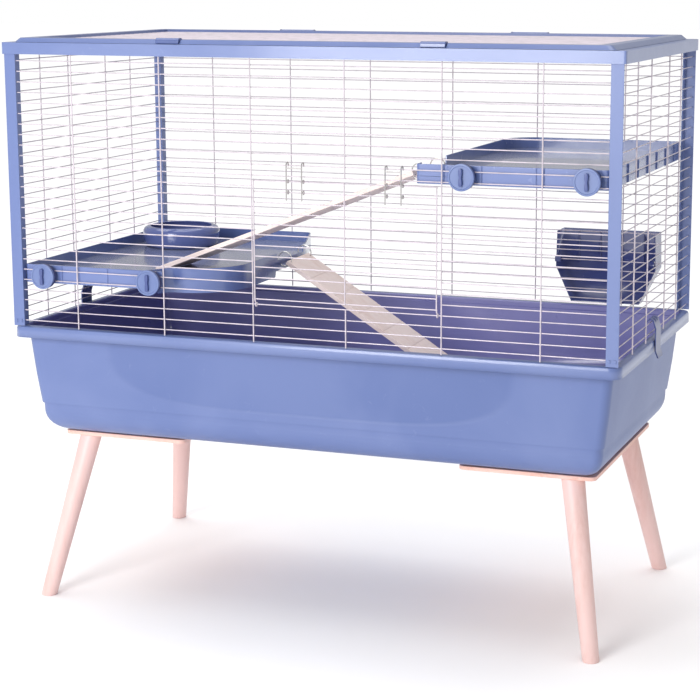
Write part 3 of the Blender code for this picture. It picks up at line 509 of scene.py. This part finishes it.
for side, x in (("left", -0.213), ("right", 0.213)):
    barrel = bar((x - BARREL_HALF, BARREL_Y, BARREL_Z), (x + BARREL_HALF, BARREL_Y, BARREL_Z), BARREL_R, 24)
    piece(f"hinge_barrel_{side}", barrel, post_plastic, "roof_lid", bevel=0.0005, slot="blue_plastic")
    for end in (-1, 1):
        cap = bar((x + end * CAP_GAP, BARREL_Y, BARREL_Z), (x + end * CAP_END, BARREL_Y, BARREL_Z), CAP_R, 24)
        piece(f"hinge_cap_{side}_{'left' if end < 0 else 'right'}", cap, clip_plastic, "cage", bevel=0.0005,
              slot="deep_blue_plastic")

# Side clips. A springy moulded strip at each end: fingers curl round a wire of the cage, and its flared tail
# grips outside the tub's rim.
for side in ("left", "right"):
    body = f"side_clip_{side}"
    piece(f"clip_{side}", copy_of(body), clip_plastic, body, body, bevel=0.0004, shift=False, round_angle=40)

# Platforms. Shallow moulded trays with a polished, dimpled floor, a flat rail along the front and a low gate
# where the ramp hangs. Knobs through the front wires clamp them.
TRAY_Y, TRAY_HIGH, TRAY_FLOOR, TRAY_WALL = 0.2475, 0.0290, 0.0110, 0.0022
LOWER_Z, UPPER_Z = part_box("lower_platform")[0].z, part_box("upper_platform")[0].z
LOWER_CORNERS = ((-0.4765, -0.2475, 0.006), (-0.2620, -0.2475, 0.010), (-0.2400, -0.2080, 0.010),
                 (-0.1420, -0.2080, 0.085), (-0.1420, 0.1120, 0.020), (-0.1890, 0.2475, 0.008),
                 (-0.4765, 0.2475, 0.006))
UPPER_CORNERS = ((0.1860, -0.2475, 0.006), (0.4765, -0.2475, 0.006), (0.4765, 0.2475, 0.006),
                 (0.1860, 0.2475, 0.055))

dimpled, given, gives = effect(
    "dimpled_floor", {"Place": (0.0, 0.0, 0.0), "Colour": BLUE, "Rough": 0.10, "Dimple": 0.16}, SURFACE)
dots = node(dimpled, "TexVoronoi", {"Vector": given["Place"], "Scale": 250, "Randomness": 0.0})[0]
smear = node(dimpled, "TexNoise", {"Vector": given["Place"], "Scale": 26, "Detail": 5})[0]
dot = node(dimpled, "MapRange", {0: dots, 1: 0.16, 2: 0.40, 3: 1.0, 4: 0.0},
           interpolation_type="SMOOTHSTEP")[0]
dusted = blend_colour(dimpled, spread(dimpled, smear, 0.46, 0.74, 0, 0.35), given["Colour"],
                      (0.45, 0.46, 0.52, 1))
dimpled.links.new(blend_colour(dimpled, node(dimpled, "Math", {0: dot, 1: 0.25}, operation="MULTIPLY")[0],
                               dusted, (0.50, 0.52, 0.60, 1)), gives["Colour"])
dimpled.links.new(node(dimpled, "Math", {0: smear, 1: 0.14, 2: given["Rough"]}, operation="MULTIPLY_ADD")[0],
                  gives["Roughness"])
dimpled.links.new(node(dimpled, "Math", {0: dot, 1: given["Dimple"]}, operation="MULTIPLY")[0], gives["Height"])
floor_skin = skin("tray_floor_plastic", dimpled, {"Colour": (0.20, 0.22, 0.34, 1)}, Coat_Weight=0.5,
                  Coat_Roughness=0.05)
tray_plastic = skin("tray_plastic", moulded, {"Colour": (0.108, 0.155, 0.370, 1), "Rough": 0.20},
                    Coat_Weight=0.6, Coat_Roughness=0.12)


def split(bm, place, way):
    """Cut edges into every face that the plane crosses."""
    bmesh.ops.bisect_plane(bm, geom=bm.verts[:] + bm.edges[:] + bm.faces[:], plane_co=place, plane_no=way)


def rounded_sheet(corners, z):
    """A flat sheet with a corner of its own radius at each (x, y, radius)."""
    bm = bmesh.new()
    drawn = [bm.verts.new((x, y, z)) for x, y, radius in corners]
    bm.faces.new(drawn)
    for vert, (x, y, radius) in zip(drawn, corners):
        bmesh.ops.bevel(bm, geom=[vert], offset=radius, segments=10, affect="VERTICES", profile=0.5,
                        material=-1, offset_type="OFFSET")
    return bm


def sink(bm, face, thickness, depth):
    """Leave a wall round a face and push what is inside it along the face's normal."""
    bmesh.ops.inset_region(bm, faces=[face], thickness=thickness, use_even_offset=True)
    way = face.normal.copy()
    pushed = bmesh.ops.extrude_face_region(bm, geom=[face])["geom"]
    moved = [item for item in pushed if isinstance(item, bmesh.types.BMVert)]
    bmesh.ops.translate(bm, vec=way * depth, verts=moved)
    bmesh.ops.delete(bm, geom=[face], context="FACES")


GATE_CUTS, GATE_HALF, GATE_HIGH = (-0.058, -0.055, 0.055, 0.058), 0.0555, 0.0170


def build_tray(name, corners, base, gate_side, gate_y, knobs, basin=None):
    """A tray, its floor mat and its front rail. basin is where a deeper part starts, and its depth."""
    top = base + TRAY_HIGH
    tray = rounded_sheet(corners, base)
    lifted = bmesh.ops.extrude_face_region(tray, geom=tray.faces[:])["geom"]
    moved = [item for item in lifted if isinstance(item, bmesh.types.BMVert)]
    bmesh.ops.translate(tray, vec=(0, 0, TRAY_HIGH), verts=moved)
    bmesh.ops.recalc_face_normals(tray, faces=tray.faces)
    tray.normal_update()
    by_height = sorted(tray.faces, key=lambda face: face.normal.z)
    under, over = by_height[0], by_height[-1]
    sink(tray, over, TRAY_WALL, TRAY_FLOOR - TRAY_HIGH)
    sink(tray, under, TRAY_WALL, TRAY_WALL - TRAY_FLOOR)
    bmesh.ops.recalc_face_normals(tray, faces=tray.faces)
    wall_x = gate_side * max(gate_side * x for x, y, radius in corners)
    for cut in GATE_CUTS:
        split(tray, (0, gate_y + cut, 0), (0, 1, 0))
    if basin:
        for edge in (basin[1] - 0.003, basin[1]):
            split(tray, (0, edge, 0), (0, 1, 0))
        split(tray, (basin[0], 0, 0), (1, 0, 0))
    for vert in tray.verts:
        x, y, z = vert.co
        if abs(x - wall_x) < 0.004 and abs(y - gate_y) < GATE_HALF and z > base + 0.020:
            vert.co.z -= TRAY_HIGH - GATE_HIGH
        if basin and x > basin[0] - 0.0001 and y < basin[1] - 0.0025 and z < base + 0.004:
            vert.co.z -= basin[2]
    piece(f"{name}_tray", tray, tray_plastic, "cage", f"{name}_platform", bevel=0.0006, round_angle=40)
    mat = rounded_sheet(corners, base + TRAY_FLOOR + 0.00005)
    bmesh.ops.inset_region(mat, faces=mat.faces[:], thickness=TRAY_WALL + 0.0004, use_even_offset=True)
    outside = [face for face in mat.faces if len(face.verts) == 4]
    bmesh.ops.delete(mat, geom=outside, context="FACES")
    pulled = bmesh.ops.extrude_face_region(mat, geom=mat.faces[:])["geom"]
    moved = [item for item in pulled if isinstance(item, bmesh.types.BMVert)]
    bmesh.ops.translate(mat, vec=(0, 0, 0.0005), verts=moved)
    bmesh.ops.recalc_face_normals(mat, faces=mat.faces)
    piece(f"{name}_tray_floor", mat, floor_skin, "cage", slot="blue_plastic")
    rail = bmesh.new()
    low, high = min(knobs) - 0.027, max(knobs) + 0.018
    joints = [low, low + 0.054, (low + high) / 2 + 0.02, high - 0.010, high]
    for start, end in zip(joints, joints[1:]):
        block((start + 0.0005, end - 0.0005), (-TRAY_Y - 0.0012, -TRAY_Y + 0.0060),
              (base + 0.0005, top - 0.0002), into=rail)
    piece(f"{name}_rail", rail, tray_plastic, "cage", bevel=0.0009, slot="blue_plastic")


LOWER_KNOBS, UPPER_KNOBS, KNOB_LIFT = (-0.436, -0.250), (0.261, 0.448), 0.0128
LOWER_GATE_Y, UPPER_GATE_Y = 0.0470, -0.1680
BASIN_X, BASIN_Y, BASIN_DEEP = -0.2500, -0.0150, 0.0100
build_tray("lower", LOWER_CORNERS, LOWER_Z, 1, LOWER_GATE_Y, LOWER_KNOBS, (BASIN_X, BASIN_Y, BASIN_DEEP))
build_tray("upper", UPPER_CORNERS, UPPER_Z, -1, UPPER_GATE_Y, UPPER_KNOBS)
SIDE_RIB_X, SIDE_RIB_STEP, SIDE_RIB_WIDE = (0.4763, 0.4785), 0.065, 0.004
ribs = bmesh.new()
for i in range(7):
    y = -0.20 + SIDE_RIB_STEP * i
    block(SIDE_RIB_X, (y, y + SIDE_RIB_WIDE), (UPPER_Z + 0.001, UPPER_Z + TRAY_HIGH - 0.001), into=ribs)
piece("upper_side_ribs", ribs, tray_plastic, "cage", bevel=0.0004, slot="blue_plastic")

# Knobs. Moulded discs outside the wires with a raised, waisted finger grip, coloured deep blue as painted
# shade. A navy disc just behind each knob is painted shadow, the dark crescent beside it. Their shafts pass
# through dark collars into the platform's rail.
knob_plastic = skin("knob_plastic", moulded, {"Colour": (0.120, 0.168, 0.360, 1), "Rough": 0.26})
# Painted shade: the finger grip is coloured deep blue to stand in for the shade along its sides.
grip_painted_shade = skin("painted_shade_knob_grip", moulded, {"Colour": DEEP_BLUE, "Rough": 0.30})
collar_plastic = skin("collar_plastic", moulded, {"Colour": NAVY, "Rough": 0.35})
KNOB_R, KNOB_Y, KNOB_BACK, SHAFT_R = 0.0200, -0.2655, -0.2605, 0.0049
GRIP_HALF, GRIP_TALL, GRIP_OUT, WAIST = 0.0027, 0.0130, 0.0038, 0.62
PAINTED_SHADOW_R, PAINTED_SHADOW_Y = 0.0196, -0.2548
for name, xs, base in (("lower", LOWER_KNOBS, LOWER_Z), ("upper", UPPER_KNOBS, UPPER_Z)):
    for side, x in zip(("left", "right"), xs):
        z = base + KNOB_LIFT
        knob = bar((x, KNOB_BACK, z), (x, KNOB_Y, z), KNOB_R, 64)
        rims = [e for e in knob.edges if len({round(v.co.y, 5) for v in e.verts}) == 1]
        bmesh.ops.bevel(knob, geom=rims, offset=0.0009, segments=3, affect="EDGES", profile=0.5, material=-1)
        face = min(knob.faces, key=lambda f: f.calc_center_median().y - f.calc_area())
        bmesh.ops.inset_region(knob, faces=[face], thickness=0.0016)
        bmesh.ops.inset_region(knob, faces=[face], thickness=0.0008, depth=-0.0009)
        bar((x, KNOB_BACK - 0.001, z), (x, -TRAY_Y + 0.004, z), SHAFT_R, 24, into=knob)
        grip = block((x - GRIP_HALF, x + GRIP_HALF), (KNOB_Y - GRIP_OUT, KNOB_Y + 0.002),
                     (z - GRIP_TALL, z + GRIP_TALL))
        ends = [e for e in grip.edges if abs((e.verts[0].co - e.verts[1].co).y) > 0.004]
        bmesh.ops.bevel(grip, geom=ends, offset=0.0024, segments=5, affect="EDGES", profile=0.5, material=-1)
        lips = [e for e in grip.edges if all(v.co.y < KNOB_Y - GRIP_OUT + 0.0001 for v in e.verts)]
        bmesh.ops.bevel(grip, geom=lips, offset=0.0007, segments=3, affect="EDGES", profile=0.5, material=-1)
        for height in (-0.0045, 0.0, 0.0045):
            split(grip, (0, 0, z + height), (0, 0, 1))
        for vert in grip.verts:
            if abs(vert.co.z - z) < 0.0001:
                vert.co.x = x + (vert.co.x - x) * WAIST
        body = f"knob_{name}_{side}"
        # Painted shadow: a navy disc just behind the knob stands in for the dark crescent of shadow beside it.
        painted_shadow_disc = bar((x, PAINTED_SHADOW_Y, z), (x, KNOB_BACK + 0.0002, z), PAINTED_SHADOW_R, 48)
        piece(f"knob_backing_{name}_{side}", painted_shadow_disc, collar_plastic, body, bevel=0.0005,
              slot="deep_blue_plastic")
        piece(f"knob_disc_{name}_{side}", knob, knob_plastic, body, body)
        piece(f"knob_grip_{name}_{side}", grip, grip_painted_shade, body, slot="blue_plastic")
        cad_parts[f"knob_collar_{name}_{side}"].material_slots[0].material = collar_plastic

# Ramps. Sealed plywood planks with cross grooves for grip. Each hangs on two steel rings that pass through
# its end and its platform's gate, and its foot rests below.
RAMP_HALF, RAMP_THICK = 0.049, 0.0070
GROOVE_STEP, GROOVE_DEEP, GROOVE_LIPS = 0.050, 0.0012, (-0.0011, 0.0, 0.0011)
RING_R, RING_WIRE, RING_REACH, RING_SPACING, RING_DIP = 0.0120, 0.0009, 0.0075, 0.0415, math.radians(8)
RAMP_PALE, RAMP_DARK = (0.860, 0.730, 0.690, 1), (0.760, 0.590, 0.530, 1)


def build_ramp(name, wall_x, sign, hub_z, gate_y, slope, yaw, length, end, wood):
    """A plank and its rings. sign is the way it runs along X, and end is the plank above its ring holes."""
    hub = Vector((wall_x + sign * RING_REACH, gate_y, hub_z))
    down = Vector((sign * math.cos(slope) * math.cos(yaw), math.cos(slope) * math.sin(yaw), -math.sin(slope)))
    hole = hub + RING_R * Vector((sign * math.cos(slope + RING_DIP), 0, -math.sin(slope + RING_DIP)))
    side_way = Vector((0, 0, 1)).cross(down).normalized()
    normal = down.cross(side_way).normalized()
    place = Matrix((down, side_way, normal)).transposed().to_4x4()
    place.translation = hole
    plank = block((-end, length - end), (-RAMP_HALF, RAMP_HALF), (-RAMP_THICK / 2, RAMP_THICK / 2))
    for i in range(1, 9):
        groove = -end + GROOVE_STEP * i
        for offset in GROOVE_LIPS:
            split(plank, (groove + offset, 0, 0), (1, 0, 0))
        for vert in plank.verts:
            if abs(vert.co.x - groove) < 0.0003 and vert.co.z > 0:
                vert.co.z -= GROOVE_DEEP
    bmesh.ops.transform(plank, matrix=place, verts=plank.verts)
    bmesh.ops.recalc_face_normals(plank, faces=plank.faces)
    piece(f"{name}_plank", plank, wood, f"{name}_ramp", f"{name}_ramp", bevel=0.0006, round_angle=60)
    for side, offset in (("front", -RING_SPACING), ("back", RING_SPACING)):
        ring = bmesh.new()
        at = Matrix.Translation(hub + Vector((RING_R, offset, 0)))
        bmesh.ops.create_circle(ring, segments=10, radius=RING_WIRE, matrix=at)
        bmesh.ops.spin(ring, geom=ring.verts[:] + ring.edges[:], cent=hub + Vector((0, offset, 0)),
                       axis=(0, 1, 0), angle=math.radians(360), steps=36, use_merge=True)
        bmesh.ops.recalc_face_normals(ring, faces=ring.faces)
        piece(f"{name}_ring_{side}", ring, steel, f"{name}_ramp", f"{name}_ramp_ring_{side}")


ramp_values = {"Pale": RAMP_PALE, "Dark": RAMP_DARK, "Rough": 0.55, "Pores": 0.08}
lower_wood = skin("lower_ramp_wood", grain, ramp_values, ALONG_X, (0, math.radians(33), 0))
upper_wood = skin("upper_ramp_wood", grain, ramp_values, ALONG_X, (0, math.radians(-21), 0))
build_ramp("lower", LOWER_CORNERS[3][0], 1, LOWER_Z + 0.018, LOWER_GATE_Y, math.radians(33.05),
           math.radians(2), 0.4740, 0.0060, lower_wood)
build_ramp("upper", UPPER_CORNERS[0][0], -1, UPPER_Z + 0.014, UPPER_GATE_Y, math.radians(21.0),
           math.radians(8), 0.5010, 0.0105, upper_wood)

# Food bowl. A glossy moulded dish with steep sides and a rolled rim turned in, one profile spun round. It
# stands loose on the lower platform.
BOWL_AT = (-0.392, 0.139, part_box("food_bowl")[0].z)
BOWL_BLUE = (0.095, 0.125, 0.330, 1)
bowl_plastic = skin("bowl_plastic", moulded, {"Colour": BOWL_BLUE, "Rough": 0.08, "Grain": 0.002},
                    Coat_Weight=0.6, Coat_Roughness=0.03)
BOWL_INSIDE = [(0.0, 0.0045), (0.040, 0.0045), (0.052, 0.0066), (0.0590, 0.0110), (0.0632, 0.0180),
               (0.0640, 0.0250), (0.0600, 0.0310), (0.0550, 0.0335)]
BOWL_LIP = [(0.0535, 0.0350), (0.0540, 0.0358), (0.0555, 0.0360)]
BOWL_OUTSIDE = [(0.0600, 0.0350), (0.0645, 0.0325), (0.0670, 0.0285), (0.0677, 0.0230), (0.0672, 0.0160),
                (0.0655, 0.0085), (0.0630, 0.0030), (0.0605, 0.0008), (0.0570, 0.0), (0.0, 0.0)]
bowl = bmesh.new()
verts = [bowl.verts.new((radius, 0, z)) for radius, z in BOWL_INSIDE + BOWL_LIP + BOWL_OUTSIDE]
edges = [bowl.edges.new(pair) for pair in zip(verts, verts[1:])]
bmesh.ops.spin(bowl, geom=verts + edges, axis=(0, 0, 1), cent=(0, 0, 0), angle=math.radians(360), steps=72,
               use_merge=True)
bmesh.ops.remove_doubles(bowl, verts=bowl.verts, dist=0.00001)
bmesh.ops.recalc_face_normals(bowl, faces=bowl.faces)
bmesh.ops.translate(bowl, vec=BOWL_AT, verts=bowl.verts)
piece("bowl", bowl, bowl_plastic, "food_bowl", "food_bowl", round_angle=60)

# Hay rack. A dark glossy moulded hopper with upright ribs on its outer wall. It hooks on the back wires from
# outside, and the animal pulls hay through the wires.
RACK_BLUE = (0.050, 0.065, 0.210, 1)
rack_plastic = skin("rack_plastic", moulded, {"Colour": RACK_BLUE, "Rough": 0.20}, Coat_Weight=0.3)
piece("rack", copy_of("hay_rack", whole_faces=False), rack_plastic, "hay_rack", "hay_rack", shift=False)
RACK_RIB_HALF, RACK_RIB_Y, RACK_RIB_Z = 0.0010, (0.2985, 0.3022), (0.5160, 0.5720)
rack_ribs = bmesh.new()
for x in (0.293, 0.331, 0.369, 0.407):
    block((x - RACK_RIB_HALF, x + RACK_RIB_HALF), RACK_RIB_Y, RACK_RIB_Z, into=rack_ribs)
piece("rack_ribs", rack_ribs, rack_plastic, "hay_rack", bevel=0.0004, slot="deep_blue_plastic")

# Studio. A plain pale matt floor under a white surround, lit by a tall soft box and a strip at the front left
# and a broad soft light overhead, and the camera.
floor_material = bpy.data.materials.new("pale_floor")
floor_material.use_nodes = True
floor_tree = floor_material.node_tree
floor_shader = floor_tree.nodes["Principled BSDF"]
floor_place = node(floor_tree, "TexCoord")["Object"]
tone = node(floor_tree, "TexNoise", {"Vector": floor_place, "Scale": 3, "Detail": 2})[0]
floor_tree.links.new(spread(floor_tree, tone, 0.3, 0.7, 0.97, 0.99), floor_shader.inputs["Base Color"])
floor_shader.inputs["Roughness"].default_value = 0.9
floor = bmesh.new()
bmesh.ops.create_grid(floor, x_segments=1, y_segments=1, size=30)
floor_mesh = bpy.data.meshes.new("floor")
floor.to_mesh(floor_mesh)
floor.free()
floor_mesh.materials.append(floor_material)
ground = bpy.data.objects.new("floor", floor_mesh)
bpy.context.scene.collection.objects.link(ground)

world = bpy.data.worlds.new("studio")
bpy.context.scene.world = world
world.use_nodes = True
sky = world.node_tree.nodes["Background"]
sky.inputs[0].default_value = (1.0, 1.0, 1.0, 1)
seen_by_camera = node(world.node_tree, "LightPath")["Is Camera Ray"]
world.node_tree.links.new(spread(world.node_tree, seen_by_camera, 0, 1, 0.50, 1.0), sky.inputs[1])
for name, place, aim, size, power in (
    ("softbox", (-0.80, -3.30, 1.55), (-0.80, 0, 1.45), (1.20, 1.90), 80),
    ("strip", (0.05, -3.30, 1.55), (0.05, 0, 1.45), (0.16, 1.90), 10),
):
    light = bpy.data.lights.new(name, "AREA")
    light.shape = "RECTANGLE"
    light.size, light.size_y = size
    light.energy = power
    lamp = bpy.data.objects.new(name, light)
    lamp.location = place
    lamp.rotation_euler = (Vector(place) - Vector(aim)).to_track_quat("Z", "Y").to_euler()
    bpy.context.scene.collection.objects.link(lamp)
overhead = bpy.data.lights.new("overhead", "SUN")
overhead.energy = 1.9
overhead.angle = math.radians(60)
overhead_lamp = bpy.data.objects.new("overhead", overhead)
overhead_lamp.rotation_euler = (math.radians(-12), math.radians(-10), 0)
bpy.context.scene.collection.objects.link(overhead_lamp)

camera = bpy.data.cameras.new("camera")
camera.lens = 96.6
camera.shift_x, camera.shift_y = -0.0879, -0.0410
camera.clip_end = 60
CAMERA_DIP, CAMERA_TURN = 10.517, 19.673
view = bpy.data.objects.new("camera", camera)
view.location = (1.1045, -2.8351 + MID, 1.0100)
view.rotation_euler = (math.radians(90 - CAMERA_DIP), 0, math.radians(CAMERA_TURN))
bpy.context.scene.collection.objects.link(view)
bpy.context.scene.camera = view
bpy.context.scene.view_settings.view_transform = "Standard"
